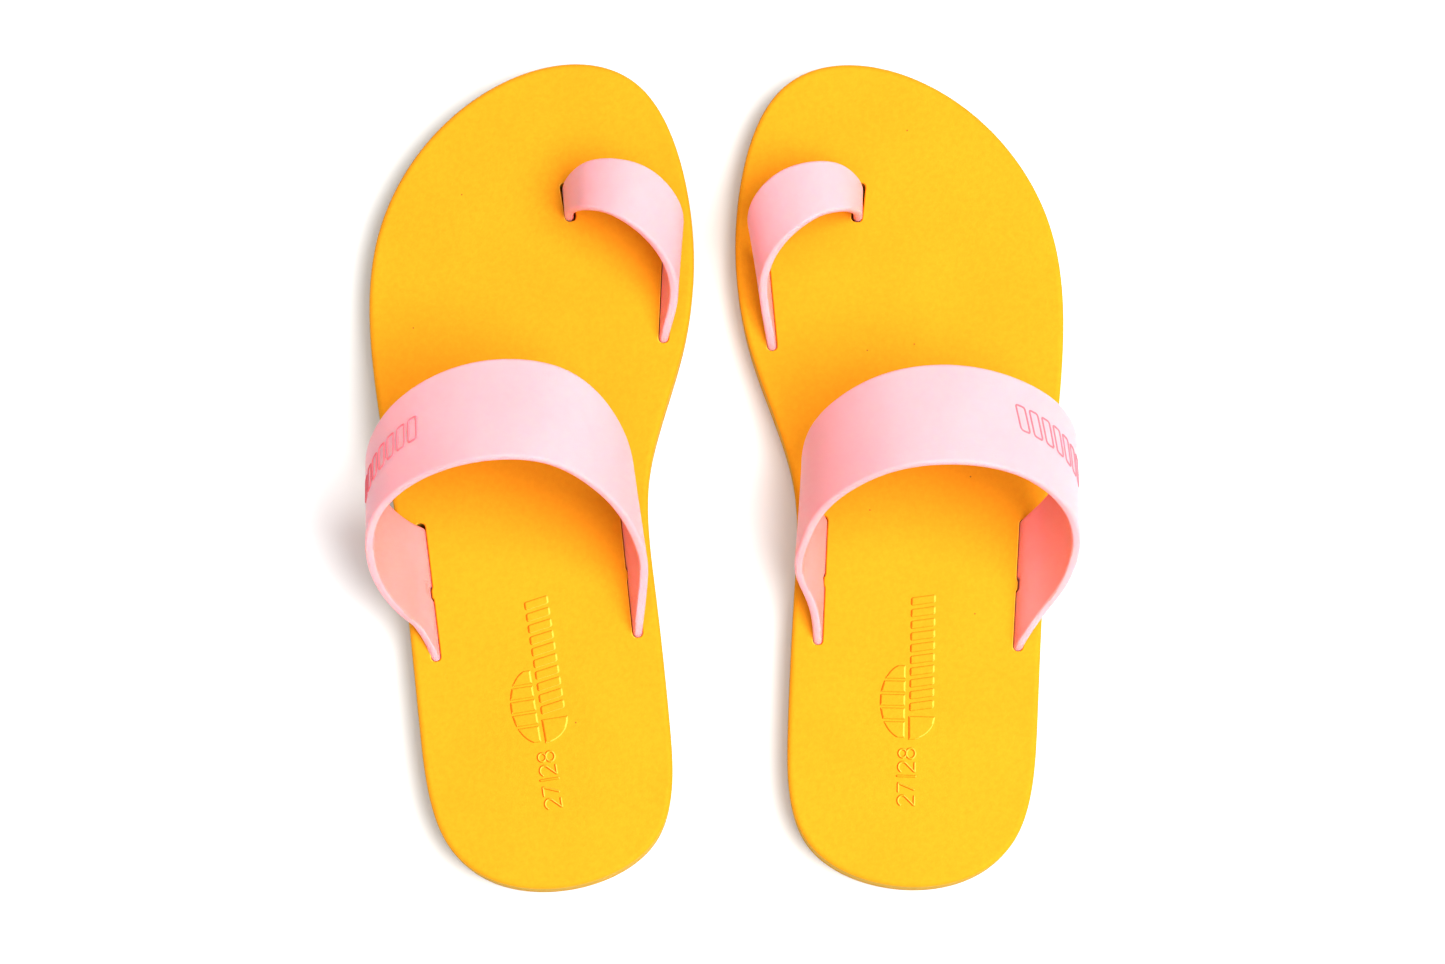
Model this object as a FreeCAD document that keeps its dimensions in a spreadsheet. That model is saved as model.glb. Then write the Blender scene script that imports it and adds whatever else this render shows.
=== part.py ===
import FreeCAD, Part
import Sketcher
import math
import os

# Pair of children's toe-loop sandals: two layer foam soles, each with a rubber toe loop and a
# rubber instep strap. Millimetres, +X right, +Y towards the toes, +Z up, floor at z = 0.
# Shapes are written for the left sandal, whose inner (big toe) side is +x; the right is its mirror.

DIMENSIONS = (
    ("half_spacing", 40.9),
    ("half_stagger", 1.0),
    ("outsole_thickness", 4.6),
    ("footbed_thickness", 7.4),
    ("top_edge_round", 1.2),
    ("bottom_edge_round", 0.8),
    ("strap_thickness", 2.0),
    ("strap_corner_round", 0.6),
    ("instep_rise", 46.0),
    ("toe_rise", 19.5),
    ("slot_gap", 0.45),
    ("head_width", 5.0),
    ("head_height", 2.8),
    ("head_gap", 0.3),
    ("nub_width", 2.4),
    ("nub_depth", 0.9),
    ("nub_gap", 0.35),
    ("tread_pitch", 9.0),
    ("tread_width", 2.4),
    ("tread_depth", 1.2),
    ("tread_inset", 7.0),
)

# Control points of the closed curve round the sole, clockwise from the outer side of the waist.
OUTLINE = (
    (-29.2, -28.1), (-32.5, 0.1), (-36.8, 27.7), (-36.3, 55.8),
    (-21.0, 80.6), (3.6, 94.6), (28.4, 91.1), (37.4, 59.5),
    (35.9, 28.9), (22.7, 0.0), (25.8, -26.6), (28.1, -56.3),
    (29.5, -84.8), (0.7, -95.8), (-24.6, -86.6), (-27.2, -55.7),
)

# Stations along each strap from one slot over the foot to the other: front edge x, y, height and
# rear edge x, y, height. Heights are shares of the strap's rise above the footbed. The two instep
# straps have relaxed differently, so each has its own stations; the toe loops are mirror images.
LEFT_INSTEP_STATIONS = (
    ((-25.9, -11.7, 0.00), (-23.4, -40.2, 0.00)),
    ((-31.0, -9.3, 0.13), (-28.0, -34.2, 0.13)),
    ((-34.7, -4.9, 0.32), (-33.3, -28.3, 0.29)),
    ((-35.2, 1.4, 0.52), (-35.8, -20.7, 0.50)),
    ((-30.8, 8.4, 0.71), (-33.2, -13.5, 0.71)),
    ((-20.6, 14.8, 0.86), (-23.3, -7.5, 0.92)),
    ((-6.5, 17.7, 0.92), (-8.8, -4.8, 1.04)),
    ((6.8, 15.8, 0.89), (4.3, -5.8, 1.00)),
    ((14.6, 10.8, 0.76), (12.9, -9.6, 0.84)),
    ((19.2, 4.2, 0.56), (19.3, -15.0, 0.62)),
    ((20.6, -0.6, 0.38), (22.6, -20.6, 0.40)),
    ((20.6, -5.3, 0.19), (23.2, -26.6, 0.21)),
    ((19.4, -9.4, 0.00), (22.0, -36.4, 0.00)),
)
RIGHT_INSTEP_STATIONS = (
    ((-25.8, -11.9, 0.00), (-23.8, -39.9, 0.00)),
    ((-30.3, -8.4, 0.13), (-27.8, -34.8, 0.13)),
    ((-34.2, -3.7, 0.32), (-32.9, -28.8, 0.29)),
    ((-35.6, 1.8, 0.50), (-35.4, -22.2, 0.48)),
    ((-32.5, 7.5, 0.69), (-33.4, -15.6, 0.69)),
    ((-22.6, 12.9, 0.85), (-23.8, -8.9, 0.89)),
    ((-8.7, 15.9, 0.89), (-8.8, -6.3, 1.00)),
    ((4.7, 14.8, 0.86), (4.6, -7.3, 0.97)),
    ((13.9, 11.4, 0.74), (13.9, -10.2, 0.82)),
    ((20.1, 6.8, 0.55), (20.5, -14.6, 0.61)),
    ((22.2, 1.9, 0.37), (23.6, -19.6, 0.41)),
    ((21.8, -4.0, 0.18), (23.5, -25.8, 0.21)),
    ((19.3, -10.0, 0.00), (20.9, -37.1, 0.00)),
)
TOE_STATIONS = (
    ((8.0, 64.6, 0.00), (9.1, 56.6, 0.00)),
    ((8.1, 65.0, 0.26), (8.6, 56.9, 0.26)),
    ((10.3, 65.7, 0.57), (9.8, 56.2, 0.62)),
    ((14.3, 66.1, 0.80), (12.9, 55.0, 0.90)),
    ((19.1, 65.6, 0.92), (16.7, 53.8, 1.03)),
    ((24.5, 64.0, 0.93), (21.5, 50.7, 1.05)),
    ((29.3, 60.8, 0.80), (26.7, 46.4, 0.92)),
    ((32.2, 56.8, 0.57), (30.1, 41.6, 0.70)),
    ((32.1, 51.4, 0.26), (30.8, 35.2, 0.31)),
    ((30.3, 47.4, 0.00), (29.3, 29.6, 0.00)),
)

doc = FreeCAD.newDocument("Sandals")
dims = doc.addObject("Spreadsheet::Sheet", "Dims")
for row, (alias, value) in enumerate(DIMENSIONS, start=1):
    dims.set("A%d" % row, alias)
    dims.set("B%d" % row, str(value))
    dims.setAlias("B%d" % row, alias)
doc.recompute()
D = dict(DIMENSIONS)


def origin_plane(body):
    """The XY plane of the body's own origin."""
    for feature in body.Origin.OriginFeatures:
        if feature.Role == "XY_Plane":
            return feature
    raise RuntimeError("body has no XY plane")


def new_body(name, side):
    """A body standing at its sandal's place, side -1 for the left and +1 for the right."""
    body = doc.addObject("PartDesign::Body", name)
    body.Label = name
    body.setExpression("Placement.Base.x", "%d * Dims.half_spacing" % side)
    body.setExpression("Placement.Base.y", "%d * Dims.half_stagger" % -side)
    return body


def new_sketch(body, name, height="0", base=(0.0, 0.0), rotation=None):
    """A sketch on the body's XY plane, lifted to the height expression and turned if asked."""
    sketch = body.newObject("Sketcher::SketchObject", name)
    sketch.AttachmentSupport = [(origin_plane(body), "")]
    sketch.MapMode = "FlatFace"
    turn = rotation if rotation else FreeCAD.Rotation()
    sketch.AttachmentOffset = FreeCAD.Placement(FreeCAD.Vector(base[0], base[1], 0), turn)
    sketch.setExpression("AttachmentOffset.Base.z", height)
    return sketch


def about_z(degrees):
    return FreeCAD.Rotation(FreeCAD.Vector(0, 0, 1), degrees)


def rounded_rectangle(sketch, width, height, radius):
    """A rectangle with round corners centred on the sketch origin; sizes may be expressions."""
    w, h, r = [evaluate(size) for size in (width, height, radius)]
    x, y = w / 2, h / 2
    vector = FreeCAD.Vector
    corners = ((x - r, y - r, 0), (r - x, y - r, 90), (r - x, r - y, 180), (x - r, r - y, 270))
    axis = vector(0, 0, 1)
    arcs = []
    for cx, cy, start in corners:
        circle = Part.Circle(vector(cx, cy, 0), axis, r)
        arc = Part.ArcOfCircle(circle, math.radians(start), math.radians(start + 90))
        arcs.append(sketch.addGeometry(arc, False))
    ends = (
        ((x - r, y), (r - x, y)), ((-x, y - r), (-x, r - y)),
        ((r - x, -y), (x - r, -y)), ((x, r - y), (x, y - r)),
    )
    sides = []
    for (ax, ay), (bx, by) in ends:
        line = Part.LineSegment(vector(ax, ay, 0), vector(bx, by, 0))
        sides.append(sketch.addGeometry(line, False))
    rule = Sketcher.Constraint
    for k in range(4):
        sketch.addConstraint(rule("Tangent", arcs[k], 2, sides[k], 1))
        sketch.addConstraint(rule("Tangent", sides[k], 2, arcs[(k + 1) % 4], 1))
        sketch.addConstraint(rule("Horizontal" if k % 2 == 0 else "Vertical", sides[k]))
        if k:
            sketch.addConstraint(rule("Equal", arcs[0], arcs[k]))
    sketch.addConstraint(rule("Symmetric", arcs[0], 3, arcs[2], 3, -1, 1))
    sizes = (
        (rule("Radius", arcs[0], r), radius),
        (rule("DistanceX", sides[1], 1, sides[3], 1, w), width),
        (rule("DistanceY", sides[2], 1, sides[0], 1, h), height),
    )
    for constraint, size in sizes:
        index = sketch.addConstraint(constraint)
        if isinstance(size, str):
            sketch.setExpression("Constraints[%d]" % index, size)


def evaluate(size):
    """The number behind a size that is either a number or an expression over the sheet."""
    if not isinstance(size, str):
        return float(size)
    total = 0.0
    for term in size.split(" + "):
        product = 1.0
        for factor in term.split(" * "):
            product *= D[factor[5:]] if factor.startswith("Dims.") else float(factor)
        total += product
    return total


def sole_curve(mirror):
    poles = [FreeCAD.Vector(mirror * x, y, 0) for x, y in OUTLINE]
    curve = Part.BSplineCurve()
    curve.buildFromPoles(poles, True, 3)
    return curve


def pad(body, sketch, length, name):
    feature = body.newObject("PartDesign::Pad", name)
    feature.Profile = sketch
    feature.setExpression("Length", length)
    return feature


def pocket(body, sketch, depth, name):
    """A pocket cut upwards from its sketch."""
    feature = body.newObject("PartDesign::Pocket", name)
    feature.Profile = sketch
    feature.setExpression("Length", depth)
    feature.Reversed = True
    return feature


def round_rim(body, feature, height, radius, name):
    """Round the outer rim of a pad at the given height."""
    doc.recompute()
    rims = []
    for index, edge in enumerate(feature.Shape.Edges, start=1):
        box = edge.BoundBox
        if abs(box.ZMin - height) < 0.01 and abs(box.ZMax - height) < 0.01 and box.YLength > 60:
            rims.append("Edge%d" % index)
    fillet = body.newObject("PartDesign::Fillet", name)
    fillet.Base = (feature, rims)
    fillet.setExpression("Radius", radius)
    return fillet


def slots(stations):
    """Centre, turn about z and length of the slots at the two ends of a strap."""
    found = []
    for front, rear in (stations[0], stations[-1]):
        dx, dy = front[0] - rear[0], front[1] - rear[1]
        centre = ((front[0] + rear[0]) / 2, (front[1] + rear[1]) / 2)
        found.append((centre, math.degrees(math.atan2(-dx, dy)), math.hypot(dx, dy)))
    return found


def instep_stations(side):
    return LEFT_INSTEP_STATIONS if side < 0 else RIGHT_INSTEP_STATIONS


def nub_places(side, reach):
    """Middle of the inner wall of each instep slot, at the given reach from the slot's middle."""
    found = []
    for sign, (centre, turn, length) in zip((1, -1), slots(instep_stations(side))):
        angle = math.radians(turn)
        x = centre[0] + sign * reach * math.cos(angle)
        y = centre[1] + sign * reach * math.sin(angle)
        found.append(((-side * x, y), about_z(-side * turn)))
    return found


def make_footbed(name, side):
    mirror = -side
    body = new_body(name, side)
    base = new_sketch(body, name + "_outline", "Dims.outsole_thickness")
    base.addGeometry(sole_curve(mirror), False)
    slab = pad(body, base, "Dims.footbed_thickness", name + "_slab")
    top = D["outsole_thickness"] + D["footbed_thickness"]
    round_rim(body, slab, top, "Dims.top_edge_round", name + "_rim")
    holes = slots(instep_stations(side)) + slots(TOE_STATIONS)
    for index, (centre, turn, length) in enumerate(holes, start=1):
        place = (mirror * centre[0], centre[1])
        spin = about_z(mirror * turn)
        label = "%s_slot_%d" % (name, index)
        slot = new_sketch(body, label + "_outline", "Dims.outsole_thickness", place, spin)
        rounded_rectangle(slot, "Dims.strap_thickness + 2 * Dims.slot_gap", length + 0.9, 1.0)
        pocket(body, slot, "Dims.footbed_thickness", label)
        recess = new_sketch(body, label + "_seat_outline", "Dims.outsole_thickness", place, spin)
        rounded_rectangle(recess, "Dims.head_width + 2 * Dims.head_gap", length + 3.2, 1.0)
        pocket(body, recess, "Dims.head_height + 2 * Dims.head_gap", label + "_seat")
    reach = D["strap_thickness"] / 2 + D["slot_gap"]
    level = "Dims.outsole_thickness + Dims.head_height + 2 * Dims.head_gap"
    tall = "Dims.footbed_thickness - Dims.head_height - 2 * Dims.head_gap"
    for index, (place, spin) in enumerate(nub_places(side, reach), start=1):
        label = "%s_nub_%d" % (name, index)
        nub = new_sketch(body, label + "_outline", level, place, spin)
        rounded_rectangle(nub, "2 * Dims.nub_depth", "Dims.nub_width", 0.4)
        pad(body, nub, tall, label)
    return body


def outline_limits(y):
    """Outer and inner x of the sole outline at the given y, for the left sandal."""
    points = sole_curve(1).toShape().discretize(400)
    xs = []
    for a, b in zip(points, points[1:]):
        if (a.y - y) * (b.y - y) <= 0 and a.y != b.y:
            xs.append(a.x + (b.x - a.x) * (y - a.y) / (b.y - a.y))
    return min(xs), max(xs)


def make_outsole(name, side):
    mirror = -side
    body = new_body(name, side)
    base = new_sketch(body, name + "_outline")
    base.addGeometry(sole_curve(mirror), False)
    slab = pad(body, base, "Dims.outsole_thickness", name + "_slab")
    round_rim(body, slab, 0.0, "Dims.bottom_edge_round", name + "_rim")
    rows = int(78 / D["tread_pitch"])
    for row in range(-rows, rows + 1):
        y = row * D["tread_pitch"]
        outer, inner = outline_limits(y)
        length = inner - outer - 2 * D["tread_inset"]
        place = (mirror * (inner + outer) / 2, y)
        label = "%s_groove_%d" % (name, row + rows + 1)
        groove = new_sketch(body, label + "_outline", "0", place, about_z(mirror * 90))
        rounded_rectangle(groove, "Dims.tread_width", length, "0.4 * Dims.tread_width")
        pocket(body, groove, "Dims.tread_depth", label)
    return body


def make_strap(name, side, stations, rise):
    """A band lofted through rounded sections, with a broad head under each slot."""
    body = new_body(name, side)
    scale = FreeCAD.Vector(-side, 1, D[rise])
    pairs = [[FreeCAD.Vector(*point).scale(*scale) for point in pair] for pair in stations]
    middles = [(front + rear) / 2 for front, rear in pairs]
    sections = []
    seat = "Dims.outsole_thickness + Dims.head_gap"
    top = "Dims.outsole_thickness + Dims.footbed_thickness"
    for index, (front, rear) in enumerate(pairs):
        across = front - rear
        width = across.Length
        across.normalize()
        end = index in (0, len(pairs) - 1)
        if end:
            along = FreeCAD.Vector(0, 0, 1 if index == 0 else -1)
        else:
            along = middles[index + 1] - middles[index - 1]
        outward = along.cross(across) * -side
        outward.normalize()
        normal = across.cross(outward)
        turn = FreeCAD.Rotation(across, outward, normal, "XYZ")
        middle = middles[index]
        share = (stations[index][0][2] + stations[index][1][2]) / 2
        heights = [top + " + %.3f * Dims.%s" % (share, rise)]
        if end:
            below = [seat + " + Dims.head_height - 0.4", seat + " + Dims.head_height + 1.6"]
            lower = below + [top + " - 0.8"]
            heights = lower if index == 0 else lower[::-1]
        for level in heights:
            label = "%s_section_%d" % (name, len(sections) + 1)
            section = new_sketch(body, label, level, (middle.x, middle.y), turn)
            rounded_rectangle(section, width, "Dims.strap_thickness", "Dims.strap_corner_round")
            sections.append(section)
    band = body.newObject("PartDesign::AdditiveLoft", name + "_band")
    band.Profile = sections[0]
    band.Sections = sections[1:]
    for index, (centre, turn, length) in enumerate(slots(stations), start=1):
        label = "%s_head_%d" % (name, index)
        place = (-side * centre[0], centre[1])
        head = new_sketch(body, label + "_outline", seat, place, about_z(-side * turn))
        rounded_rectangle(head, "Dims.head_width", length + 2.4, 1.0)
        pad(body, head, "Dims.head_height", label)
    if stations is not TOE_STATIONS:
        cut_nub_grooves(body, name, side)
    return body


def cut_nub_grooves(body, name, side):
    """Upright grooves in the inner faces of the tabs, clear of the nubs in the slots."""
    level = "Dims.outsole_thickness + Dims.head_height + Dims.head_gap"
    tall = "Dims.footbed_thickness - Dims.head_height - Dims.head_gap"
    places = nub_places(side, D["strap_thickness"] / 2)
    for index, (place, spin) in enumerate(places, start=1):
        label = "%s_groove_%d" % (name, index)
        groove = new_sketch(body, label + "_outline", level, place, spin)
        depth = "2 * Dims.nub_depth + -2 * Dims.slot_gap + 2 * Dims.nub_gap"
        rounded_rectangle(groove, depth, "Dims.nub_width + 2 * Dims.nub_gap", 0.4)
        pocket(body, groove, tall, label)


bodies = []
for word, side in (("left", -1), ("right", 1)):
    bodies.append(make_footbed(word + "_footbed", side))
    bodies.append(make_outsole(word + "_outsole", side))
    bodies.append(make_strap(word + "_toe_strap", side, TOE_STATIONS, "toe_rise"))
    bodies.append(make_strap(word + "_instep_strap", side, instep_stations(side), "instep_rise"))
doc.recompute()

for item in doc.Objects:
    if "Invalid" in item.State or "Error" in item.State:
        raise RuntimeError("%s: %s" % (item.Name, item.State))

os.makedirs("parts", exist_ok=True)
for body in bodies:
    shape = body.Shape
    if shape.isNull() or not shape.isValid() or len(shape.Solids) != 1:
        raise RuntimeError("bad shape in " + body.Label)
    shape.exportStep(os.path.join("parts", body.Label + ".step"))
    box = shape.BoundBox
    print("%-20s volume %8.0f  x %.2f %.2f  y %.2f %.2f  z %.2f %.2f" % (
        body.Label, shape.Volume, box.XMin, box.XMax, box.YMin, box.YMax, box.ZMin, box.ZMax))
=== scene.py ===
import math

import bpy
import numpy as np
from mathutils import Matrix, Vector
from mathutils.geometry import delaunay_2d_cdt


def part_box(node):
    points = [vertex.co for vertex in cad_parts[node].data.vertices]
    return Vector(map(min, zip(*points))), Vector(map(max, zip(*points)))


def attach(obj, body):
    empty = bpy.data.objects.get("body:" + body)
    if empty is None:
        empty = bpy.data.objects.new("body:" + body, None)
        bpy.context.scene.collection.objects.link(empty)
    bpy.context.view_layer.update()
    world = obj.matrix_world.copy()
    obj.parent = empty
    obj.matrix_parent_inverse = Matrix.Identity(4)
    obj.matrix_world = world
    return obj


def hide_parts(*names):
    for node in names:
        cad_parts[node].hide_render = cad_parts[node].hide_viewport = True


# Looks for a pair of children's toe-loop sandals. Shapes are worked out in millimetres in each
# sandal's own plan, +x to the inner (big toe) side and +y to the toes, and placed in metres.

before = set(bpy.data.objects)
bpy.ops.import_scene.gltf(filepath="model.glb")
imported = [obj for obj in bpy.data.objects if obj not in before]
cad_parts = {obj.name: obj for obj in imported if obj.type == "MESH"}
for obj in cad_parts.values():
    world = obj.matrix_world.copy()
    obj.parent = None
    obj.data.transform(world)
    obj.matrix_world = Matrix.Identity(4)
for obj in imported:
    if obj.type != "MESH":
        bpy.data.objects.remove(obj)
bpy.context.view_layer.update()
MM = 0.001

SOLE_OUTLINE = (
    (-29.2, -28.1), (-32.5, 0.1), (-36.8, 27.7), (-36.3, 55.8),
    (-21.0, 80.6), (3.6, 94.6), (28.4, 91.1), (37.4, 59.5),
    (35.9, 28.9), (22.7, 0.0), (25.8, -26.6), (28.1, -56.3),
    (29.5, -84.8), (0.7, -95.8), (-24.6, -86.6), (-27.2, -55.7),
)
OUTLINE_STEPS = 560
WALL_LEAN = 0.14  # inwards, for each foam layer
RIM_RADIUS = 1.25
SLOT_DEPTH = 6.4
GROOVE_PITCH, GROOVE_WIDTH, GROOVE_DEPTH, GROOVE_MARGIN = 9.0, 2.4, 1.2, 7.0
STRAP_THICKNESS = 2.0
NUB_HALF = 1.2
NUB_DEPTH = 0.45
INSTEP_RISE = 46.0
TOE_RISE = 19.5
MARKS_CENTRE_Y = -41.5
MARKS_PLACE = {-1: (7.4, 0.9), 1: (-3.0, 2.2)}  # by side: tilt in degrees, shift along x
STRAP_MARKS, STRAP_MARK_PITCH = 7, 3.4
STRAP_MARKS_START = {-1: (61.0, 1.0), 1: (61.6, 2.0)}  # by side: along, across

# Straps: front edge x, y, share of the rise, then the same for the rear edge.
INSTEP_STATIONS = {
    "left": (
        ((-25.9, -11.7, 0.00), (-23.0, -41.5, 0.00)),
        ((-27.9, -11.0, 0.05), (-26.1, -35.6, 0.055)),
        ((-31.0, -9.3, 0.13), (-28.4, -33.2, 0.13)),
        ((-34.7, -4.9, 0.32), (-33.3, -28.3, 0.29)),
        ((-35.2, 1.4, 0.52), (-35.8, -20.7, 0.50)),
        ((-30.8, 8.4, 0.71), (-33.2, -13.5, 0.71)),
        ((-20.6, 14.8, 0.86), (-23.3, -7.5, 0.92)),
        ((-6.5, 17.7, 0.92), (-8.8, -4.8, 1.04)),
        ((6.8, 15.8, 0.89), (4.3, -5.8, 1.00)),
        ((14.6, 10.8, 0.76), (12.9, -9.6, 0.84)),
        ((19.2, 4.2, 0.56), (19.3, -15.0, 0.62)),
        ((20.6, -0.6, 0.38), (22.6, -20.6, 0.40)),
        ((20.6, -5.3, 0.19), (23.2, -26.6, 0.21)),
        ((19.4, -9.4, 0.00), (21.5, -37.5, 0.00)),
    ),
    "right": (
        ((-25.8, -11.9, 0.00), (-23.2, -41.0, 0.00)),
        ((-30.3, -8.4, 0.13), (-27.8, -34.8, 0.13)),
        ((-34.2, -3.7, 0.32), (-32.9, -28.8, 0.29)),
        ((-35.6, 1.8, 0.50), (-35.4, -22.2, 0.48)),
        ((-32.5, 7.5, 0.69), (-33.4, -15.6, 0.69)),
        ((-22.6, 12.9, 0.85), (-23.8, -8.9, 0.89)),
        ((-8.7, 15.9, 0.89), (-8.8, -6.3, 1.00)),
        ((4.7, 14.8, 0.86), (4.6, -7.3, 0.97)),
        ((13.9, 11.4, 0.74), (13.9, -10.2, 0.82)),
        ((20.1, 6.8, 0.55), (20.5, -14.6, 0.61)),
        ((22.2, 1.9, 0.37), (23.6, -19.6, 0.41)),
        ((21.8, -4.0, 0.18), (24.2, -25.6, 0.22)),
        ((20.9, -6.9, 0.10), (22.1, -30.2, 0.14)),
        ((19.7, -8.8, 0.045), (21.1, -34.3, 0.08)),
        ((18.7, -10.0, 0.00), (20.8, -38.3, 0.00)),
    ),
}
TOE_FRONT_STATIONS = (
    ((8.0, 64.6, 0.00), (9.1, 56.6, 0.00)),
    ((9.1, 65.0, 0.26), (9.0, 56.7, 0.26)),
    ((11.4, 66.0, 0.57), (10.7, 56.2, 0.62)),
    ((14.8, 66.6, 0.80), (13.4, 55.2, 0.90)),
    ((19.1, 66.3, 0.92), (17.0, 54.0, 1.03)),
    ((24.9, 64.8, 0.93), (22.0, 51.2, 1.05)),
)
TOE_STATIONS = {
    "left": TOE_FRONT_STATIONS + (
        ((30.0, 61.4, 0.80), (27.2, 46.9, 0.92)),
        ((32.9, 57.2, 0.57), (30.6, 41.9, 0.70)),
        ((32.5, 51.6, 0.26), (31.1, 34.6, 0.31)),
        ((30.3, 47.4, 0.00), (28.9, 28.3, 0.00)),
    ),
    "right": TOE_FRONT_STATIONS + (
        ((30.0, 61.4, 0.80), (27.0, 46.9, 0.92)),
        ((32.5, 57.2, 0.57), (29.8, 42.2, 0.70)),
        ((31.2, 51.2, 0.26), (29.9, 34.8, 0.31)),
        ((29.9, 47.6, 0.00), (28.7, 27.8, 0.00)),
    ),
}
TOE_TWIST = 0.32  # how far the toe loop's outer end is turned in its slot, at each edge

# Room round a strap in its slot at each end: at the sides, at the front and at the rear.
INSTEP_ROOM = {
    "left": ((0.08, 1.0, 0.05), (0.12, 0.4, 0.05)),
    "right": ((0.08, 0.15, 0.05), (0.08, 0.3, 0.05)),
}
TOE_ROOM = ((0.24, 0.6, 0.25), (0.10, 0.4, 0.05))


# ---------------------------------------------------------------- plan curves

def closed_spline(poles, count):
    """Points evenly spaced along the closed uniform cubic B-spline of the poles."""
    poles = np.array(poles, float)
    t = np.linspace(0, 1, 60, endpoint=False)
    weights = np.stack([
        (1 - t) ** 3 / 6,
        (3 * t ** 3 - 6 * t ** 2 + 4) / 6,
        (-3 * t ** 3 + 3 * t ** 2 + 3 * t + 1) / 6,
        t ** 3 / 6,
    ], axis=-1)
    spans = (np.arange(len(poles))[:, None] + np.arange(4)) % len(poles)
    dense = np.einsum("nj,kjd->knd", weights, poles[spans]).reshape(-1, 2)
    return resample(dense, count=count, closed=True)


def resample(points, count=None, step=None, closed=False):
    """The polyline divided into even steps."""
    points = np.array(points, float)
    ring = np.vstack([points, points[:1]]) if closed else points
    along = np.r_[0, np.cumsum(np.linalg.norm(np.diff(ring, axis=0), axis=1))]
    if count is None:
        count = max(3, int(math.ceil(along[-1] / step)) + (0 if closed else 1))
    stops = np.linspace(0, along[-1], count, endpoint=not closed)
    return np.stack([np.interp(stops, along, ring[:, k]) for k in range(points.shape[1])], -1)


def normals_2d(points, closed=True):
    """Unit normals to the right of the direction of travel."""
    if closed:
        tangent = np.roll(points, -1, 0) - np.roll(points, 1, 0)
    else:
        tangent = np.gradient(points, axis=0)
    tangent /= np.linalg.norm(tangent, axis=1)[:, None] + 1e-12
    return np.stack([tangent[:, 1], -tangent[:, 0]], -1)


def arc(cx, cy, rx, ry, start, end, count=24):
    """Points of an ellipse arc between two angles in degrees."""
    angles = np.radians(np.linspace(start, end, count))
    return np.stack([cx + rx * np.cos(angles), cy + ry * np.sin(angles)], -1)


def area_2d(points):
    x, y = points[:, 0], points[:, 1]
    return 0.5 * float(np.sum(x * np.roll(y, -1) - np.roll(x, -1) * y))


def inset(points, distance):
    """The closed polyline moved inwards."""
    inwards = normals_2d(points) * (-1.0 if area_2d(points) > 0 else 1.0)
    return points + inwards * distance


def inside(points, loop):
    """Which of the points lie inside the closed loop."""
    found = np.zeros(len(points), bool)
    for a, b in zip(loop, np.roll(loop, -1, 0)):
        if a[1] == b[1]:
            continue
        crosses = (a[1] > points[:, 1]) != (b[1] > points[:, 1])
        at = a[0] + (points[:, 1] - a[1]) * (b[0] - a[0]) / (b[1] - a[1])
        found ^= crosses & (points[:, 0] < at)
    return found


# ---------------------------------------------------------------- mesh building

class Builder:
    """Vertices in plan millimetres and faces by index."""

    def __init__(self):
        self.points = []
        self.faces = []

    def ring(self, plan, z):
        """Vertices of a plan outline, all at one height or each at its own."""
        start = len(self.points)
        heights = np.broadcast_to(z, (len(plan),))
        self.points += [(p[0], p[1], h) for p, h in zip(plan, heights)]
        return list(range(start, start + len(plan)))

    def bridges(self, rows, closed=True):
        for lower, upper in zip(rows, rows[1:]):
            self.bridge(lower, upper, closed)

    def vertices(self, rows):
        start = len(self.points)
        self.points += [tuple(row) for row in rows]
        return list(range(start, start + len(rows)))

    def bridge(self, lower, upper, closed=True):
        """Quads between two equally long rows of vertices."""
        count = len(lower)
        for k in range(count if closed else count - 1):
            n = (k + 1) % count
            self.faces.append((lower[k], lower[n], upper[n], upper[k]))

    def fill(self, rim, holes=(), spacing=4.0, height=None):
        """Triangles between the rim and the holes, with a grid of points between them."""
        plan = np.array([self.points[k][:2] for k in rim])
        hole_plans = [np.array([self.points[k][:2] for k in hole]) for hole in holes]
        low, high = plan.min(0), plan.max(0)
        xs = np.arange(low[0], high[0], spacing)
        ys = np.arange(low[1], high[1], spacing)
        gx, gy = np.meshgrid(xs, ys)
        gx[1::2] += spacing / 2
        grid = np.stack([gx.ravel(), gy.ravel()], -1)
        keep = inside(grid, inset(plan, spacing * 0.45))
        for hole in hole_plans:
            keep &= ~inside(grid, inset(hole, -spacing * 0.45))
        grid = grid[keep]
        indices = list(rim) + [k for hole in holes for k in hole]
        coords = [self.points[k][:2] for k in indices] + [tuple(p) for p in grid]
        edges, start = [], 0
        for loop in [rim] + list(holes):
            size = len(loop)
            edges += [(start + k, start + (k + 1) % size) for k in range(size)]
            start += size
        out, _, faces, origin, _, _ = delaunay_2d_cdt(
            [Vector(c) for c in coords], edges, [], 1, 1e-6)
        level = self.points[rim[0]][2]
        names = []
        for place, sources in zip(out, origin):
            known = [s for s in sources if s < len(indices)]
            if known:
                names.append(indices[known[0]])
                continue
            z = height(place.x, place.y) if height else level
            names += self.vertices([(place.x, place.y, z)])
        centres = np.array([np.mean([out[k] for k in face], axis=0) for face in faces])
        keep = inside(centres, plan)
        for hole in hole_plans:
            keep &= ~inside(centres, hole)
        for face, wanted in zip(faces, keep):
            if wanted:
                self.faces.append(tuple(names[k] for k in face))


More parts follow.
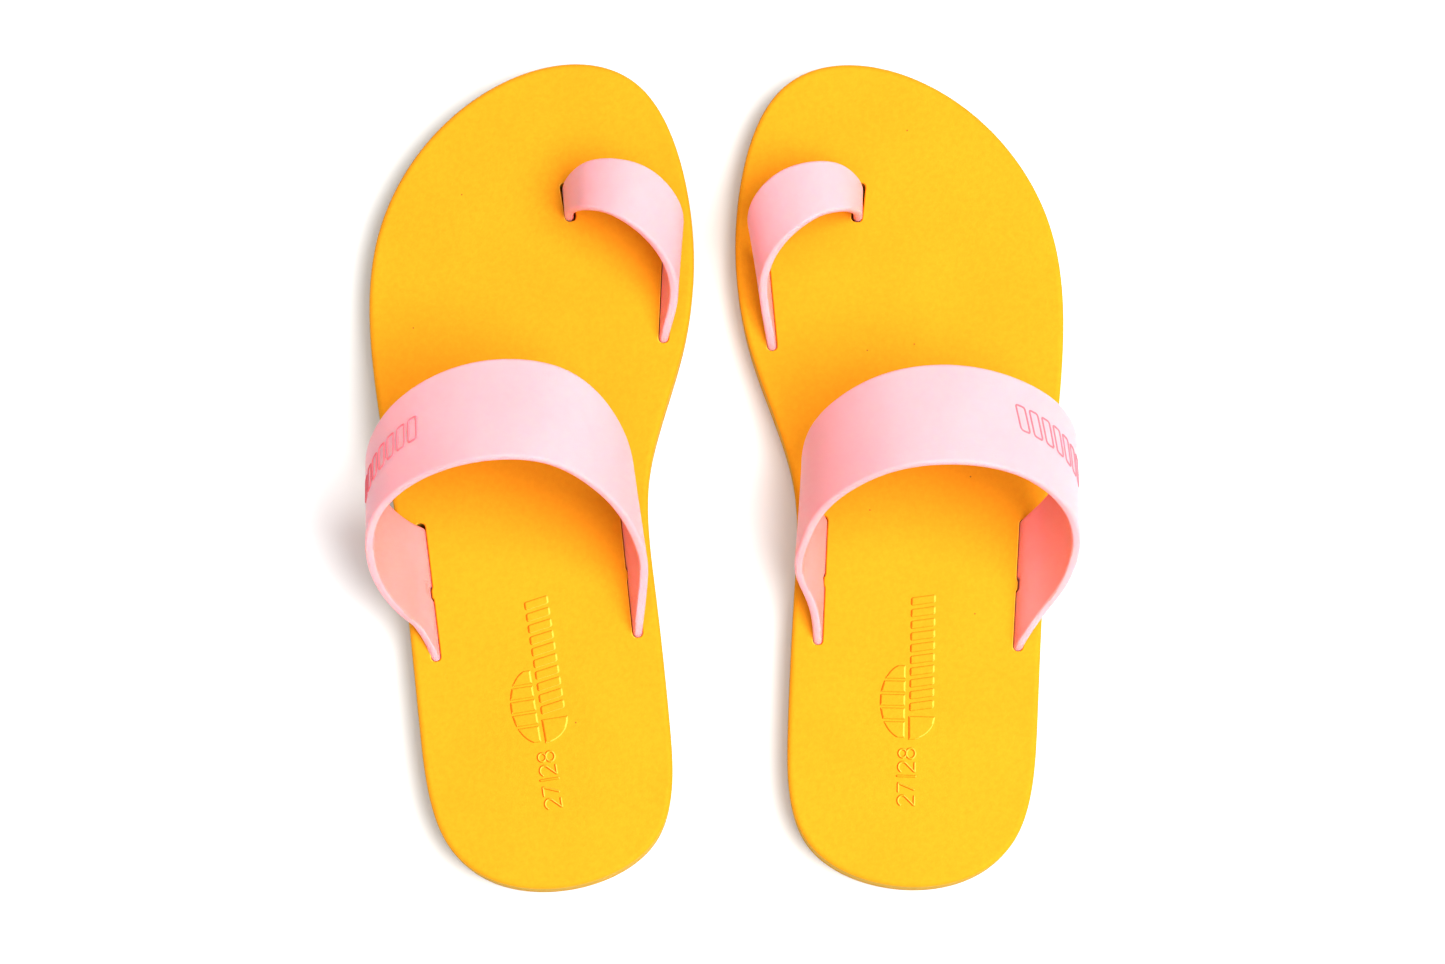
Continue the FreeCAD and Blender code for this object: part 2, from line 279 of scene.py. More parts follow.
def make_object(name, builder, sandal, material, node, body, smooth_angle=40):
    """Turns the plan geometry into an object that stands for a CAD node."""
    mesh = bpy.data.meshes.new(name)
    mesh.from_pydata([sandal.place(p) for p in builder.points], [], builder.faces)
    mesh.validate()
    obj = bpy.data.objects.new(name, mesh)
    bpy.context.scene.collection.objects.link(obj)
    bpy.context.view_layer.objects.active = obj
    for other in bpy.context.selected_objects:
        other.select_set(False)
    obj.select_set(True)
    bpy.ops.object.mode_set(mode="EDIT")
    bpy.ops.mesh.select_all(action="SELECT")
    bpy.ops.mesh.normals_make_consistent(inside=False)
    bpy.ops.object.mode_set(mode="OBJECT")
    bpy.ops.object.shade_auto_smooth(angle=math.radians(smooth_angle))
    mesh.materials.append(material)
    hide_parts(node)
    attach(obj, body)
    return obj


class Sandal:
    """One sandal's place in the frame, from its CAD boxes."""

    def __init__(self, name, side):
        self.side = side
        low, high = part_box(name + "_footbed")
        ground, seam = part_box(name + "_outsole")
        outline = closed_spline(SOLE_OUTLINE, 720)
        middle = (outline.min(0) + outline.max(0)) / 2
        self.x0 = (low[0] + high[0]) / 2 / MM + side * middle[0]
        self.y0 = (low[1] + high[1]) / 2 / MM - middle[1]
        self.top = high[2] / MM
        self.seam = seam[2] / MM
        self.floor = ground[2] / MM

    def place(self, point):
        """A plan point in metres in the frame."""
        x, y, z = point
        return ((self.x0 - self.side * x) * MM, (self.y0 + y) * MM, z * MM)


# ---------------------------------------------------------------- straps

def natural_spline(knots, values, stops):
    """Cubic spline through the values, evaluated at the stops."""
    count = len(knots)
    h = np.diff(knots)
    system = np.zeros((count, count))
    right = np.zeros((count, values.shape[1]))
    system[0, 0] = system[-1, -1] = 1.0
    for k in range(1, count - 1):
        system[k, k - 1:k + 2] = h[k - 1], 2 * (h[k - 1] + h[k]), h[k]
        ahead = (values[k + 1] - values[k]) / h[k]
        right[k] = 6 * (ahead - (values[k] - values[k - 1]) / h[k - 1])
    bend = np.linalg.solve(system, right)
    span = np.clip(np.searchsorted(knots, stops) - 1, 0, count - 2)
    a = ((knots[span + 1] - stops) / h[span])[:, None]
    b = 1 - a
    curve = (a ** 3 - a) * bend[span] + (b ** 3 - b) * bend[span + 1]
    return a * values[span] + b * values[span + 1] + curve * (h[span] ** 2)[:, None] / 6


class Strap:
    """The middle surface of a strap: even steps along it, straight across it."""

    def __init__(self, stations, rise, sandal, steps, twist=0.0):
        edges = []
        for index, pair in enumerate(stations):
            points = [np.array([x, y, sandal.top + share * rise]) for x, y, share in pair]
            if index in (0, len(stations) - 1):
                levels = [sandal.top - 4.7, sandal.top - 2.7, sandal.top - 0.8]
                rows = [[np.array([p[0], p[1], z]) for p in points] for z in levels]
                edges += rows if index == 0 else rows[::-1]
            else:
                edges.append(points)
        edges = np.array(edges)
        edges[:3, 0, 0] += twist
        edges[:3, 1, 0] -= twist
        middle = edges.mean(1)
        knots = np.r_[0, np.cumsum(np.linalg.norm(np.diff(middle, axis=0), axis=1))]
        dense = np.linspace(0, knots[-1], 2000)
        line = natural_spline(knots, middle, dense)
        run = np.r_[0, np.cumsum(np.linalg.norm(np.diff(line, axis=0), axis=1))]
        self.run = np.linspace(0, run[-1], steps)
        stops = np.interp(self.run, run, dense)
        front = natural_spline(knots, edges[:, 0], stops)
        rear = natural_spline(knots, edges[:, 1], stops)
        self.middle = (front + rear) / 2
        self.width = np.linalg.norm(front - rear, axis=1)
        self.across = (front - rear) / self.width[:, None]
        out = np.cross(np.gradient(self.middle, axis=0), self.across)
        self.out = out / np.linalg.norm(out, axis=1)[:, None]

    def at(self, run, offset, lift):
        """A point at this run along, this offset towards the front edge, this far outwards."""
        middle, across, out = (
            np.stack([np.interp(run, self.run, values[:, k]) for k in range(3)], -1)
            for values in (self.middle, self.across, self.out))
        offset, lift = np.asarray(offset)[..., None], np.asarray(lift)[..., None]
        return middle + across * offset + out * lift


def strap_section(width, thickness, r, outer, inner):
    """Offsets across and outwards round a band with soft edges."""
    half, lift = width / 2, thickness / 2
    points = [((half - r) * share, lift) for share in np.linspace(-1, 1, outer)]
    for cx, cy, start, end in (
        (half - r, lift - r, 75, 0),
        (half - r, r - lift, 0, -75),
    ):
        points += [tuple(p) for p in arc(cx, cy, r, r, start, end, 6)]
    points += [((half - r) * share, -lift) for share in np.linspace(1, -1, inner)]
    for cx, cy, start, end in (
        (r - half, r - lift, 255, 180),
        (r - half, lift - r, 180, 105),
    ):
        points += [tuple(p) for p in arc(cx, cy, r, r, start, end, 6)]
    return np.array(points)


def smooth(value, low, high):
    """A soft step from 0 at low to 1 at high."""
    t = np.clip((value - low) / (high - low), 0, 1)
    return t * t * (3 - 2 * t)


def build_strap(strap, top, outer, inner, notched):
    """The band, with a full round edge near the sole and a notch for each slot's nub."""
    builder = Builder()
    rows = []
    for k in range(len(strap.run)):
        level = strap.middle[k][2]
        r = 0.74 + 0.22 * float(smooth(level, top + 8.0, top + 1.0))
        section = strap_section(strap.width[k], STRAP_THICKNESS, r, outer, inner)
        offset, lift = section[:, 0], section[:, 1].copy()
        if notched and level < top + 4.0:
            notch = smooth(np.abs(offset), NUB_HALF + 0.35, NUB_HALF + 0.05)
            notch *= float(smooth(level, top + 1.5, top + 0.5))
            inside_face = lift < -STRAP_THICKNESS / 2 + 0.01
            lift = np.where(inside_face, lift + notch * NUB_DEPTH, lift)
        rows.append(builder.vertices(
            strap.middle[k] + np.outer(offset, strap.across[k]) + np.outer(lift, strap.out[k])))
    builder.bridges(rows)
    for row in (rows[0], rows[-1]):
        builder.faces.append(tuple(row))
    return builder


def paint_inner_shade(piece, strap, material, sandal):
    """Gives the strap's inner face its own material: a deeper, more orange pink that is painted
    shade with painted yellow light bounced from the footbed.
    """
    piece.data.materials.append(material)
    middle = np.array([sandal.place(p) for p in strap.middle])
    out = strap.out * [-sandal.side, 1.0, 1.0]
    for polygon in piece.data.polygons:
        nearest = int(np.argmin(np.sum((middle - np.array(polygon.center)) ** 2, axis=1)))
        if np.dot(out[nearest], polygon.normal) < -0.6:
            polygon.material_index = 1


def paint_light_on_marks(piece, top, painted_highlight_tone, painted_shade_tone):
    """Paints light and shade on the sloping faces just above a footbed's top, which are the
    raised marks' sides and the slots' top edges. Faces turned to +x get the lighter tone, a
    painted highlight, and faces turned to -x the deeper one, painted shade.
    """
    piece.data.materials.append(painted_highlight_tone)
    piece.data.materials.append(painted_shade_tone)
    for polygon in piece.data.polygons:
        height = polygon.center[2] / MM - top
        if -0.06 < height < 0.45 and polygon.normal[2] > 0.1 and abs(polygon.normal[0]) > 0.2:
            polygon.material_index = 1 if polygon.normal[0] > 0 else 2


def colour_wall(piece, top, tone):
    """Gives the cut wall of a footbed, below its rounded rim, its own tone."""
    piece.data.materials.append(tone)
    for polygon in piece.data.polygons:
        if polygon.center[2] / MM < top - RIM_RADIUS * 0.4 and abs(polygon.normal[2]) < 0.85:
            polygon.material_index = len(piece.data.materials) - 1


# ---------------------------------------------------------------- raised marks

def ridge(builder, path, surface, closed=False, reach=0.42, height=0.36):
    """A soft raised line along a plan path; surface gives a point for x, y and a lift."""
    path = resample(path, step=0.22, closed=closed)
    side = normals_2d(path, closed)
    profile = (
        (-1.0, -0.3), (-0.8, 0.08), (-0.38, 0.86), (0.0, 1.0),
        (0.38, 0.86), (0.8, 0.08), (1.0, -0.3))
    swell = np.ones(len(path))
    if not closed:
        swell[0] = swell[-1] = 0.6
    rows = []
    for out, lift in profile:
        plan = path + side * (out * reach * swell)[:, None]
        rows.append(builder.vertices(surface(plan, lift * height * swell)))
    builder.bridges(rows + rows[:1], closed)
    if not closed:
        builder.faces.append(tuple(row[0] for row in rows))
        builder.faces.append(tuple(row[-1] for row in rows))


def emboss(builder, loop, z):
    """A raised flat shape with soft sides inside a closed plan path."""
    side = ((-0.06, -0.2), (0.0, 0.05), (0.10, 0.25), (0.24, 0.36), (0.42, 0.40))
    rings = [builder.ring(inset(loop, distance), z + lift) for distance, lift in side]
    builder.bridges(rings)
    builder.fill(rings[-1], spacing=1.5)


def rounded_box(width, height, r):
    """A closed rounded rectangle about the origin."""
    w, h = width / 2 - r, height / 2 - r
    return np.vstack([arc(x, y, r, r, start, start + 90, 5) for x, y, start in (
        (w, h, 0), (-w, h, 90), (-w, -h, 180), (w, -h, 270))])


def slanted(width, height, lean):
    """A leaning rounded box, wide along x, with its long ends shifted along y."""
    box = rounded_box(width, height, 0.5)
    box[:, 1] += lean * box[:, 0]
    return box


def digit(name):
    """Strokes of a plain digit, or of the dividing bar, in a box 0.6 wide and 1 high."""
    if name == "2":
        bow = arc(0.3, 0.72, 0.27, 0.27, 165, -35, 12)
        return [(np.vstack([bow, [[0.04, 0.02], [0.58, 0.02]]]), False)]
    if name == "7":
        return [(np.array([[0.04, 0.98], [0.56, 0.98], [0.2, 0.0]]), False)]
    if name == "8":
        return [
            (arc(0.3, 0.75, 0.22, 0.23, 0, 360, 18)[:-1], True),
            (arc(0.3, 0.26, 0.27, 0.26, 0, 360, 20)[:-1], True),
        ]
    return [(np.array([[0.3, -0.1], [0.3, 1.1]]), False)]


def oval_band(low, high):
    """Closed outline of the part of a half-oval between two levels, straight on its +x side."""
    half_width, half_height = 5.6, 8.4
    levels = np.linspace(low, high, 14)
    reach = half_width * np.sqrt(1 - (levels / half_height) ** 2)
    curve = np.stack([-reach, levels], -1)
    return resample(np.vstack([curve, [[0.0, high], [0.0, low]]]), step=0.3, closed=True)


def footbed_shapes():
    """Closed outlines of a plain row of leaning boxes beside a striped oval, y to the toes."""
    shapes = [slanted(5.5, 1.85, 0.16) + [0.0, 12.4 - 2.6 * k] for k in range(10)]
    levels = np.array([8.25, 4.8, 1.8, -1.2, -4.2, -8.25])
    for high, low in zip(levels, levels[1:]):
        shapes.append(oval_band(low + 0.22, high - 0.22) + [-3.6, -10.2])
    corner = np.vstack([arc(-3.0, -13.4, 6.0, 5.3, 0, -88, 30), [[-2.9, -13.4]]])
    shapes.append(resample(corner, step=0.3, closed=True))
    return shapes


def size_strokes():
    """Strokes of the shoe size, reading up the same line as the boxes."""
    base, tall, wide = -1.25, 3.7, 4.1
    paths = []
    for name, start in (("2", -33.3), ("7", -30.5), ("|", -27.9), ("2", -25.9), ("8", -22.9)):
        for stroke, closed in digit(name):
            turned = np.stack([base - stroke[:, 1] * tall, start + stroke[:, 0] * wide], -1)
            paths.append((turned, closed))
    return paths


def build_strap_marks(strap, side):
    """A row of thin leaning box outlines near the outer end of an instep strap."""
    builder = Builder()
    start, across = STRAP_MARKS_START[side]

    def on_strap(plan, height):
        return strap.at(plan[:, 0], plan[:, 1], STRAP_THICKNESS / 2 + height)

    for k in range(STRAP_MARKS):
        box = rounded_box(2.2, 5.4, 0.55)
        box[:, 0] += 0.16 * side * box[:, 1]
        path = box + [start - 1.2 - STRAP_MARK_PITCH * k, across]
        ridge(builder, path, on_strap, True, 0.27, 0.24)
    return builder


# ---------------------------------------------------------------- soles

def slot_loop(width, length, nub_at=None):
    """Outline of a slot about its own middle, with a nub on its +x wall if it has a place."""
    w, h, r = width / 2, length / 2, min(width / 2 - 0.02, 1.0)
    corners = ((w - r, h - r, 0), (r - w, h - r, 90), (r - w, r - h, 180), (w - r, r - h, 270))
    points = []
    for cx, cy, start in corners:
        points += [tuple(p) for p in arc(cx, cy, r, r, start, start + 90, 7)]
    if nub_at is not None:
        d, n = NUB_DEPTH - 0.12, NUB_HALF
        nub = (
            (0, -n - 0.3), (0.25 * d, -n), (d, 0.3 - n),
            (d, n - 0.3), (0.25 * d, n), (0, n + 0.3))
        points += [(w - x, nub_at + y) for x, y in nub]
    return resample(points, step=0.4, closed=True)


def slots(stations, rooms, with_nubs):
    """Plan loops of the slots at a strap's two ends, the nubs on the walls facing each other."""
    loops = []
    for sign, station, (sides, ahead, behind) in zip((1, -1), (stations[0], stations[-1]), rooms):
        front, rear = (np.array(edge[:2]) for edge in station)
        length = np.linalg.norm(front - rear)
        up = (front - rear) / length
        sideways = np.array([up[1], -up[0]]) * sign
        shift = (ahead - behind) / 2
        loop = slot_loop(
            STRAP_THICKNESS + 2 * sides, length + ahead + behind, -shift if with_nubs else None)
        centre = (front + rear) / 2 + up * shift
        loops.append(centre + loop[:, :1] * sideways + loop[:, 1:] * up)
    return loops


def waviness(x, y, phase):
    """Slow, shallow unevenness of soft foam, in millimetres."""
    broad = math.sin(x * 0.11 + phase) * math.cos(y * 0.07 - phase)
    return 0.07 * (broad + 0.6 * math.sin(y * 0.13 + x * 0.05))


def build_footbed(sandal, instep, toe, room):
    """The upper foam layer with its slots, raised shapes and size mark."""
    builder = Builder()
    outline = closed_spline(SOLE_OUTLINE, OUTLINE_STEPS)
    seam, top, r = sandal.seam, sandal.top, RIM_RADIUS
    rings = [(WALL_LEAN + 0.3, seam), (WALL_LEAN + 0.06, seam + 0.22)]
    for share in (0.15, 0.4, 0.7, 1.0):
        lean = 0.10 * math.sin(math.pi * share) ** 2 + WALL_LEAN * (1 - share)
        rings.append((lean, seam + 0.3 + share * (top - r - seam - 0.35)))
    for angle in range(15, 91, 15):
        a = math.radians(angle)
        rings.append((r * (1 - math.cos(a)), top - r * (1 - math.sin(a))))
    loops = [builder.ring(inset(outline, d), z) for d, z in rings]
    builder.bridges(loops)
    builder.fill(loops[0], spacing=9.0)
    holes = []
    for loop in slots(instep, room, True) + slots(toe, TOE_ROOM, False):
        steps = ((-0.22, 0.0), (-0.07, 0.07), (0.0, 0.24), (0.0, SLOT_DEPTH))
        walls = [builder.ring(inset(loop, d), top - down) for d, down in steps]
        builder.bridges(walls[::-1])
        builder.fill(walls[-1], spacing=3.0)
        holes.append(walls[0])
    phase = 1.0 + sandal.side

    def height(x, y):
        return top - 0.02 - abs(waviness(x, y, phase)) * 0.6

    builder.fill(loops[-1], holes, spacing=2.2, height=height)
    degrees, across = MARKS_PLACE[sandal.side]
    tilt = math.radians(degrees)
    turn = np.array([[math.cos(tilt), -math.sin(tilt)], [math.sin(tilt), math.cos(tilt)]])

    def on_top(plan, lift):
        return np.column_stack([plan, top - 0.03 + lift])

    def placed(path):
        spot = path @ turn.T + [across, MARKS_CENTRE_Y]
        spot[:, 0] *= -sandal.side
        return spot

    for shape in footbed_shapes():
        emboss(builder, placed(shape), top - 0.05)
    for path, closed in size_strokes():
        ridge(builder, placed(path), on_top, closed, 0.36, 0.42)
    return builder


def build_outsole(sandal):
    """The lower foam layer with cross grooves underneath."""
    builder = Builder()
    outline = closed_spline(SOLE_OUTLINE, OUTLINE_STEPS)
    seam, ground = sandal.seam, sandal.floor
    rings = [
        (2 * WALL_LEAN + inwards, ground + up)
        for inwards, up in ((0.8, 0.0), (0.55, 0.05), (0.25, 0.25), (0.06, 0.55), (0.0, 0.8))
    ]
    for share in (0.3, 0.6, 0.9):
        lean = 0.08 * math.sin(math.pi * share) ** 2 + WALL_LEAN * (2 - share)
        rings.append((lean, ground + 0.8 + share * (seam - ground - 1.1)))
    rings += [(WALL_LEAN + 0.06, seam - 0.2), (WALL_LEAN + 0.3, seam)]
    loops = [builder.ring(inset(outline, d), z) for d, z in rings]
    builder.bridges(loops)
    builder.fill(loops[-1], spacing=9.0)
    holes = []
    for row in range(-8, 9):
        y = row * GROOVE_PITCH
        crossing = outline[np.abs(outline[:, 1] - y) < 0.8]
        low, high = crossing[:, 0].min() + GROOVE_MARGIN, crossing[:, 0].max() - GROOVE_MARGIN
        groove = slot_loop(GROOVE_WIDTH, high - low)[:, ::-1] + [(low + high) / 2, y]
        steps = ((0.0, 0.0), (0.15, 0.12), (0.3, 1.0), (0.5, GROOVE_DEPTH))
        walls = [builder.ring(inset(groove, d), ground + up) for d, up in steps]
        builder.bridges(walls)
        builder.fill(walls[-1], spacing=4.0)
        holes.append(walls[0])
    builder.fill(loops[0], holes, spacing=4.0)
    return builder


# ---------------------------------------------------------------- materials

class Nodes:
    """Short names for building a material's node tree."""

    def __init__(self, name):
        self.material = bpy.data.materials.new(name)
        self.material.use_nodes = True
        self.tree = self.material.node_tree
        self.shader = self.tree.nodes["Principled BSDF"]
        self.where = self.add("ShaderNodeTexCoord").outputs["Object"]

    def add(self, kind, **settings):
        node = self.tree.nodes.new(kind)
        for key, value in settings.items():
            setattr(node, key, value)
        return node

    def link(self, source, target):
        self.tree.links.new(source, target)

    def noise(self, scale, detail=2.0, rough=0.5, stretch=None):
        """Noise over the object's own coordinates, in metres."""
        node = self.add("ShaderNodeTexNoise")
        node.inputs["Scale"].default_value = scale
        node.inputs["Detail"].default_value = detail
        node.inputs["Roughness"].default_value = rough
        where = self.where
        if stretch:
            mapping = self.add("ShaderNodeMapping")
            mapping.inputs["Scale"].default_value = stretch
            self.link(where, mapping.inputs["Vector"])
            where = mapping.outputs["Vector"]
        self.link(where, node.inputs["Vector"])
        return node.outputs["Fac"]

    def span(self, value, low, high, out_low, out_high):
        """The value, clamped between low and high, mapped to a new range."""
        node = self.add("ShaderNodeMapRange")
        limits = {"From Min": low, "From Max": high, "To Min": out_low, "To Max": out_high}
        for key, number in limits.items():
            node.inputs[key].default_value = number
        self.link(value, node.inputs["Value"])
        return node.outputs["Result"]

    def math(self, operation, a, b):
        node = self.add("ShaderNodeMath", operation=operation)
        for socket, value in zip(node.inputs, (a, b)):
            if isinstance(value, (int, float)):
                socket.default_value = value
            else:
                self.link(value, socket)
        return node.outputs[0]

    def mix(self, share, a, b):
        node = self.add("ShaderNodeMix", data_type="RGBA")
        for socket, value in ((node.inputs[0], share), (node.inputs[6], a), (node.inputs[7], b)):
            if isinstance(value, tuple):
                socket.default_value = value + (1.0,)
            elif isinstance(value, float):
                socket.default_value = value
            else:
                self.link(value, socket)
        return node.outputs[2]

    def bump(self, height, distance, strength=1.0, after=None):
        node = self.add("ShaderNodeBump")
        node.inputs["Distance"].default_value = distance
        node.inputs["Strength"].default_value = strength
        self.link(height, node.inputs["Height"])
        if after:
            self.link(after, node.inputs["Normal"])
        return node.outputs["Normal"]


def foam(name, light, deep, speck):
    """Closed-cell foam: fine grain, faint cloudy tone, a few specks."""
    n = Nodes(name)
    clouds = n.noise(60.0, 3.0)
    broad = n.noise(16.0, 2.0)
    grain = n.noise(2600.0, 3.0, 0.6)
    weave = n.noise(900.0, 2.0, 0.55)
    tone = n.math("ADD", n.span(clouds, 0.3, 0.7, 0.0, 0.45), n.span(grain, 0.3, 0.7, 0.0, 0.35))
    tone = n.math("ADD", tone, n.span(broad, 0.3, 0.7, -0.05, 0.25))
    tone = n.math("ADD", tone, n.span(weave, 0.3, 0.7, -0.35, 0.45))
    colour = n.mix(tone, light, deep)
    cells = n.add("ShaderNodeTexVoronoi", feature="F1", voronoi_dimensions="2D")
    cells.inputs["Scale"].default_value = 90.0
    n.link(n.where, cells.inputs["Vector"])
    pick = n.add("ShaderNodeSeparateColor")
    n.link(cells.outputs["Color"], pick.inputs["Color"])
    rare = n.math("GREATER_THAN", pick.outputs["Red"], 0.93)
    near = n.span(cells.outputs["Distance"], 0.010, 0.020, 0.85, 0.0)
    colour = n.mix(n.math("MULTIPLY", rare, near), colour, speck)
    n.link(colour, n.shader.inputs["Base Color"])
    n.link(n.span(grain, 0.3, 0.7, 0.62, 0.82), n.shader.inputs["Roughness"])
    n.shader.inputs["Specular IOR Level"].default_value = 0.05
    first = n.bump(grain, 0.00012, 0.6)
    n.link(n.bump(weave, 0.0002, 0.35, first), n.shader.inputs["Normal"])
    return n.material


def rubber(name, light, deep):
    """Soft, slightly see-through strap rubber with a satin skin and faint handling marks."""
    n = Nodes(name)
    clouds = n.noise(70.0, 3.0)
    grain = n.noise(3200.0, 2.0, 0.5)
    rubs = n.noise(180.0, 4.0, 0.7, (1.0, 5.0, 1.0))
    tone = n.math("ADD", n.span(clouds, 0.35, 0.65, 0.0, 0.5), n.span(grain, 0.3, 0.7, 0.0, 0.2))
    n.link(n.mix(tone, light, deep), n.shader.inputs["Base Color"])
    gloss = n.math("ADD", n.span(rubs, 0.35, 0.7, 0.40, 0.54), n.span(grain, 0.3, 0.7, 0.0, 0.06))
    n.link(gloss, n.shader.inputs["Roughness"])
    n.shader.inputs["Subsurface Weight"].default_value = 1.0
    n.shader.inputs["Subsurface Radius"].default_value = (1.0, 0.30, 0.18)
    n.shader.inputs["Subsurface Scale"].default_value = 0.0013
    n.shader.inputs["Specular IOR Level"].default_value = 0.18
    first = n.bump(grain, 0.00004, 0.5)
    n.link(n.bump(rubs, 0.00008, 0.4, first), n.shader.inputs["Normal"])
    return n.material


def painted_line_shade(name, light, deep):
    """Deeper pink of the thin raised lines on the straps: painted shade along the lines."""
    n = Nodes(name)
    grain = n.noise(2600.0, 2.0)
    clouds = n.noise(150.0, 2.0)
    tone = n.math("ADD", n.span(grain, 0.3, 0.7, 0.0, 0.5), n.span(clouds, 0.3, 0.7, 0.0, 0.5))
    n.link(n.mix(tone, light, deep), n.shader.inputs["Base Color"])
    n.link(n.span(grain, 0.3, 0.7, 0.45, 0.6), n.shader.inputs["Roughness"])
    n.shader.inputs["Specular IOR Level"].default_value = 0.15
    n.link(n.bump(grain, 0.00004, 0.5), n.shader.inputs["Normal"])
    return n.material


def floor_material():
    """White paper, greyer away from the object: a painted pool of light round the pair."""
    n = Nodes("floor_white")
    length = n.add("ShaderNodeVectorMath", operation="LENGTH")
    n.link(n.where, length.inputs[0])
    far = n.span(length.outputs["Value"], 0.2, 0.7, 0.0, 1.0)
    mottle = n.span(n.noise(14.0, 3.0), 0.3, 0.7, -0.02, 0.02)
    n.link(
        n.mix(n.math("ADD", far, mottle), (0.85, 0.85, 0.85), (0.56, 0.56, 0.56)),
        n.shader.inputs["Base Color"])
    n.shader.inputs["Roughness"].default_value = 0.9
    n.shader.inputs["Specular IOR Level"].default_value = 0.1
    return n.material


# ---------------------------------------------------------------- stage, camera, light

def build_floor():
    builder = Builder()
    steps = np.linspace(-1500, 1500, 31)
    rows = [builder.vertices([(x, y, -0.05) for x in steps]) for y in steps]
    builder.bridges(rows, closed=False)
    points = [(x * MM, y * MM, z * MM) for x, y, z in builder.points]
    mesh = bpy.data.meshes.new("floor")
    mesh.from_pydata(points, [], builder.faces)
    mesh.materials.append(floor_material())
    floor = bpy.data.objects.new("floor", mesh)
    bpy.context.scene.collection.objects.link(floor)


def place_camera():
    """Above the heels, tipped nine degrees from straight down, with a slight roll."""
    tip, roll, distance = math.radians(9.0), math.radians(1.695), 1250.0
    image_width, focal_pixels, sensor = 1445.0, 5650.0, 36.0
    target = Vector((-0.3, 2.45, 0.0))
    look = Vector((0, math.sin(tip), -math.cos(tip)))
    up = Vector((0, math.cos(tip), math.sin(tip)))
    right = Vector((1, 0, 0))
    spin = Matrix.Rotation(-roll, 3, "Z")
    centre = spin @ (Vector((0, 0, 12.0)) - look * distance - target)
    look, up, right = spin @ look, spin @ up, spin @ right
    data = bpy.data.cameras.new("camera")
    data.sensor_width = sensor
    data.lens = sensor * focal_pixels / image_width
    camera = bpy.data.objects.new("camera", data)
    axes = Matrix((right, up, -look)).transposed().to_4x4()
    camera.matrix_world = Matrix.Translation(centre * MM) @ axes
    bpy.context.scene.collection.objects.link(camera)
    bpy.context.scene.camera = camera


def area_light(name, azimuth, elevation, distance, size, level):
    """A round soft light aimed at the middle of the pair. The level is the brightness that it
    gives a white floor there."""
    a, e = math.radians(azimuth), math.radians(elevation)
    away = Vector((math.cos(a) * math.cos(e), math.sin(a) * math.cos(e), math.sin(e)))
    data = bpy.data.lights.new(name, "AREA")
    data.shape = "DISK"
    data.size = size
    data.energy = level * math.pi ** 2 * (distance ** 2 + size ** 2 / 4) / math.sin(e)
    light = bpy.data.objects.new(name, data)
    light.location = away * distance
    light.rotation_euler = away.to_track_quat("Z", "Y").to_euler()
    bpy.context.scene.collection.objects.link(light)


def place_lights():
    area_light("key", -18.0, 64.0, 1.3, 1.0, 1.43)
    area_light("top_fill", -90.0, 78.0, 1.6, 2.0, 0.45)
    world = bpy.data.worlds.new("studio")
    world.use_nodes = True
    background = world.node_tree.nodes["Background"]
    background.inputs["Color"].default_value = (1.0, 1.0, 1.0, 1.0)
    background.inputs["Strength"].default_value = 0.35
    bpy.context.scene.world = world
    view = bpy.context.scene.view_settings
    view.view_transform = "Standard"
    view.look = "None"


# ---------------------------------------------------------------- the pair

DARK_SPECK = (0.12, 0.04, 0.01)
YELLOW = foam("footbed_yellow", (0.773, 0.285, 0.0085), (0.739, 0.255, 0.0070), DARK_SPECK)
# Lighter and deeper copies of the footbed yellow: painted highlight for mark sides facing +x,
# painted shade for those facing -x.
YELLOW_PAINTED_HIGHLIGHT = foam(
    "footbed_yellow_painted_highlight", (0.97, 0.48, 0.050), (0.95, 0.43, 0.040), (0.70, 0.20, 0.02))
YELLOW_PAINTED_SHADE = foam(
    "footbed_yellow_painted_shade", (0.90, 0.165, 0.004), (0.86, 0.14, 0.003), (0.25, 0.07, 0.01))
YELLOW_WALL = foam("footbed_wall", (0.55, 0.320, 0.028), (0.51, 0.290, 0.024), DARK_SPECK)
ORANGE = foam("outsole_orange", (0.55, 0.290, 0.028), (0.51, 0.262, 0.024), DARK_SPECK)
PINK = rubber("strap_pink", (0.837, 0.37, 0.40), (0.809, 0.34, 0.37))
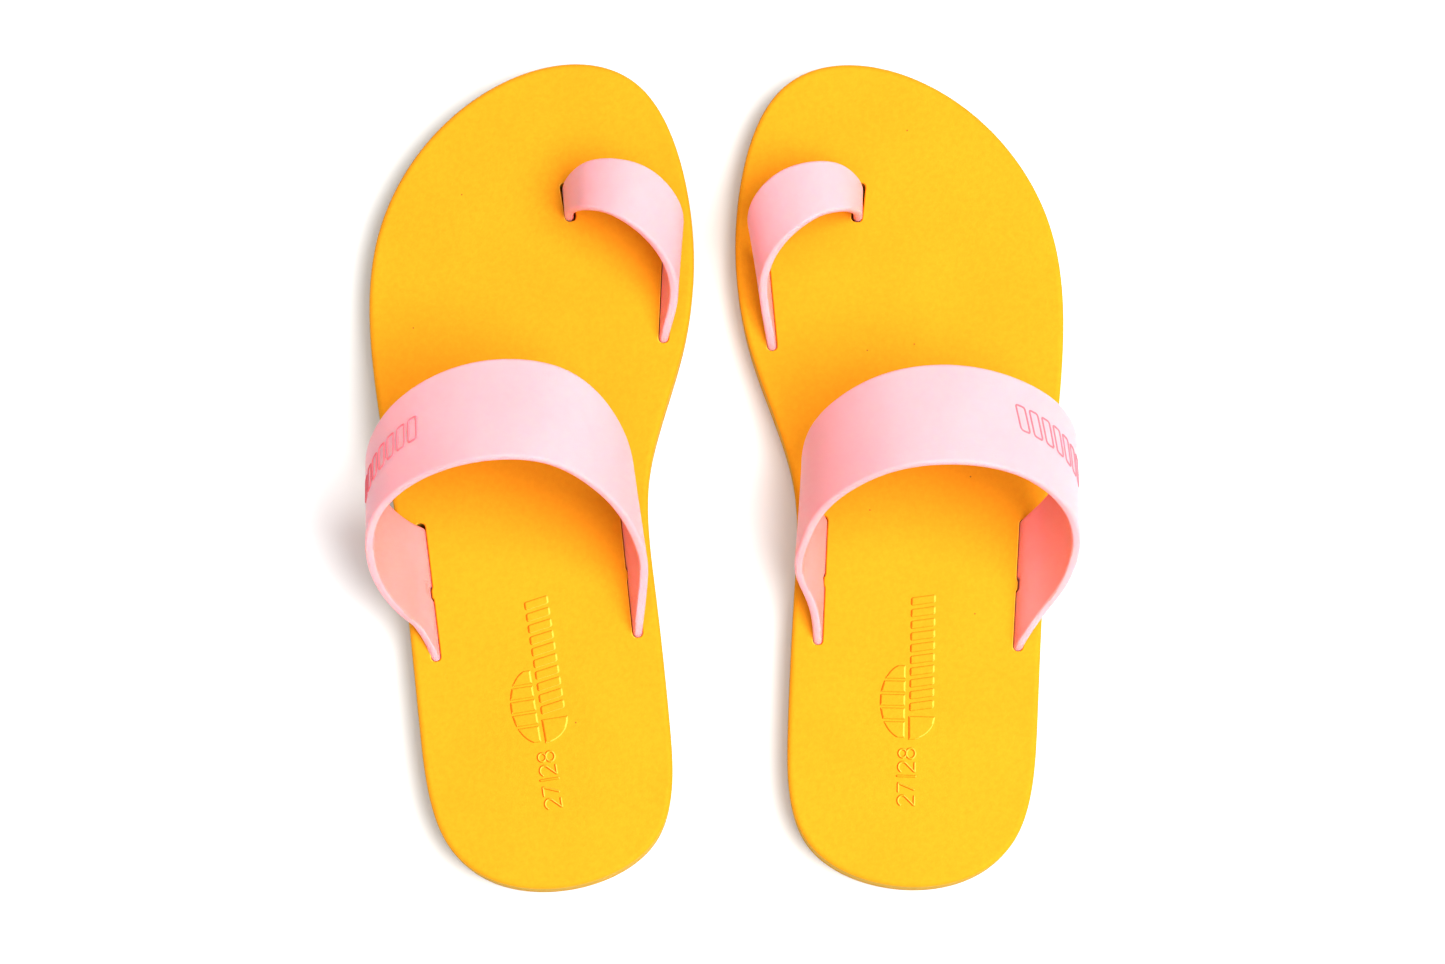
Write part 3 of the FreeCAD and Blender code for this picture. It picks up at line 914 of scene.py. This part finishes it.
# Deeper, more orange pink for the straps' inner faces: painted shade with painted yellow bounce
# light.
STRAP_INNER_PAINTED_SHADE = rubber("strap_inner_painted_shade", (0.86, 0.27, 0.25), (0.83, 0.24, 0.22))
# Deeper pink for the thin raised lines on the straps: painted shade along the lines.
STRAP_LINES_PAINTED_SHADE = painted_line_shade("strap_lines_painted_shade", (0.86, 0.17, 0.20), (0.80, 0.13, 0.16))

build_floor()
place_camera()
place_lights()

# Name, rise, steps along, points across the outer and the inner face, twist.
STRAPS = (
    ("instep_strap", INSTEP_RISE, 260, 27, 47, 0.0),
    ("toe_strap", TOE_RISE, 190, 15, 15, TOE_TWIST),
)
for side_name, side in (("left", -1), ("right", 1)):
    sandal = Sandal(side_name, side)
    body = side_name + "_sandal"
    instep, toe = INSTEP_STATIONS[side_name], TOE_STATIONS[side_name]
    footbed_shape = build_footbed(sandal, instep, toe, INSTEP_ROOM[side_name])
    footbed = make_object(
        side_name + "_footbed_foam", footbed_shape, sandal, YELLOW, side_name + "_footbed", body)
    # Painted highlight and painted shade on the sloping sides of the footbed marks, by which way
    # they face.
    paint_light_on_marks(footbed, sandal.top, YELLOW_PAINTED_HIGHLIGHT, YELLOW_PAINTED_SHADE)
    colour_wall(footbed, sandal.top, YELLOW_WALL)
    outsole = make_object(
        side_name + "_outsole_foam", build_outsole(sandal), sandal, ORANGE,
        side_name + "_outsole", body)
    for part, rise, steps, outer, inner, twist in STRAPS:
        is_instep = part == "instep_strap"
        node = side_name + "_" + part
        strap = Strap(instep if is_instep else toe, rise, sandal, steps, twist)
        band = build_strap(strap, sandal.top, outer, inner, is_instep)
        if is_instep:
            # The strap's raised lines carry painted shade in their colour.
            marks = make_object(
                node + "_marks", build_strap_marks(strap, side), sandal, STRAP_LINES_PAINTED_SHADE, node, body)
        piece = make_object(node + "_band", band, sandal, PINK, node, body, 50)
        # The inner face gets painted shade and painted yellow bounce light.
        paint_inner_shade(piece, strap, STRAP_INNER_PAINTED_SHADE, sandal)
